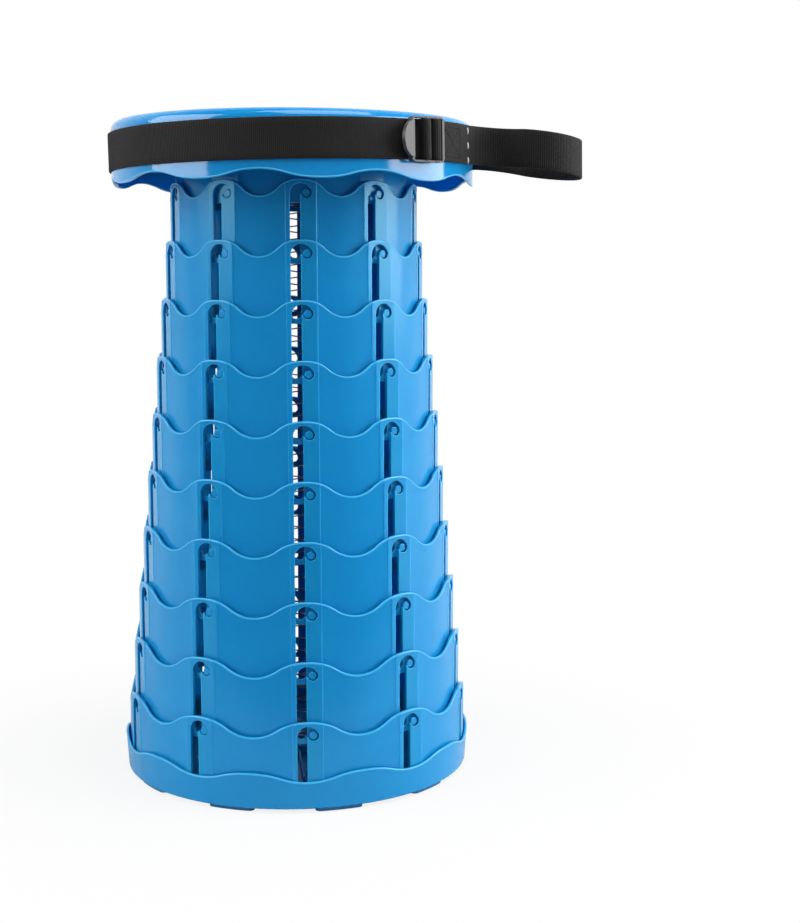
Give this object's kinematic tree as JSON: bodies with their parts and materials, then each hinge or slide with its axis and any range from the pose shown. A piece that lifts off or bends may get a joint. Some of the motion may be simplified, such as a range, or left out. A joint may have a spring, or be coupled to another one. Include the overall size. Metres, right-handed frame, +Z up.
{
  "type": "telescopic folding stool",
  "caption": "Round telescopic stool whose wavy nested rings hang by pins in hooked slots and drop into a flat base; webbing strap and carry loop round the seat.",
  "frame": {"origin": "on the stool's axis, at the floor under its feet", "axes": "+Z up the stool's axis, -Y to the front, +X to the right, where the carry loop is"},
  "size_m": [0.3223, 0.2506, 0.4476],
  "materials": {
    "blue_plastic": "satin moulded polypropylene",
    "foot_plastic": "matt moulded plastic",
    "black_webbing": "ribbed woven webbing",
    "black_plastic": "satin moulded plastic",
    "spring_wire": "drawn spring wire"
  },
  "bodies": {
    "base": {"base_tray": "blue_plastic", "foot_pads": "foot_plastic", "ring_10": "blue_plastic", "coil_spring": "spring_wire"},
    "ring_09_body": {"ring_09": "blue_plastic"},
    "ring_08_body": {"ring_08": "blue_plastic"},
    "ring_07_body": {"ring_07": "blue_plastic"},
    "ring_06_body": {"ring_06": "blue_plastic"},
    "ring_05_body": {"ring_05": "blue_plastic"},
    "ring_04_body": {"ring_04": "blue_plastic"},
    "ring_03_body": {"ring_03": "blue_plastic"},
    "ring_02_body": {"ring_02": "blue_plastic"},
    "ring_01_body": {"ring_01": "blue_plastic"},
    "seat": {"seat_sleeve": "blue_plastic", "seat_shell": "blue_plastic", "seat_cap": "blue_plastic", "strap_band": "black_webbing", "carry_handle": "black_webbing", "buckle_front": "black_plastic", "buckle_rear": "black_plastic"}
  },
  "joints": [
    {"name": "fold", "type": "slide", "parent": "base", "child": "ring_09_body", "axis": [0, 0, 1], "range_m": [-0.0385, 0], "deforming": ["coil_spring"]},
    {"name": "ring_08_slide", "type": "slide", "parent": "ring_09_body", "child": "ring_08_body", "axis": [0, 0, 1], "range_m": [-0.0385, 0]},
    {"name": "ring_07_slide", "type": "slide", "parent": "ring_08_body", "child": "ring_07_body", "axis": [0, 0, 1], "range_m": [-0.0385, 0]},
    {"name": "ring_06_slide", "type": "slide", "parent": "ring_07_body", "child": "ring_06_body", "axis": [0, 0, 1], "range_m": [-0.0385, 0]},
    {"name": "ring_05_slide", "type": "slide", "parent": "ring_06_body", "child": "ring_05_body", "axis": [0, 0, 1], "range_m": [-0.0385, 0]},
    {"name": "ring_04_slide", "type": "slide", "parent": "ring_05_body", "child": "ring_04_body", "axis": [0, 0, 1], "range_m": [-0.0385, 0]},
    {"name": "ring_03_slide", "type": "slide", "parent": "ring_04_body", "child": "ring_03_body", "axis": [0, 0, 1], "range_m": [-0.0385, 0]},
    {"name": "ring_02_slide", "type": "slide", "parent": "ring_03_body", "child": "ring_02_body", "axis": [0, 0, 1], "range_m": [-0.0385, 0]},
    {"name": "ring_01_slide", "type": "slide", "parent": "ring_02_body", "child": "ring_01_body", "axis": [0, 0, 1], "range_m": [-0.0385, 0]},
    {"name": "seat_slide", "type": "slide", "parent": "ring_01_body", "child": "seat", "axis": [0, 0, 1], "range_m": [-0.0385, 0]}
  ],
  "couplings": [
    {"joint": "ring_08_slide", "follows": "fold", "ratio": 1},
    {"joint": "ring_07_slide", "follows": "fold", "ratio": 1},
    {"joint": "ring_06_slide", "follows": "fold", "ratio": 1},
    {"joint": "ring_05_slide", "follows": "fold", "ratio": 1},
    {"joint": "ring_04_slide", "follows": "fold", "ratio": 1},
    {"joint": "ring_03_slide", "follows": "fold", "ratio": 1},
    {"joint": "ring_02_slide", "follows": "fold", "ratio": 1},
    {"joint": "ring_01_slide", "follows": "fold", "ratio": 1},
    {"joint": "seat_slide", "follows": "fold", "ratio": 1}
  ]
}
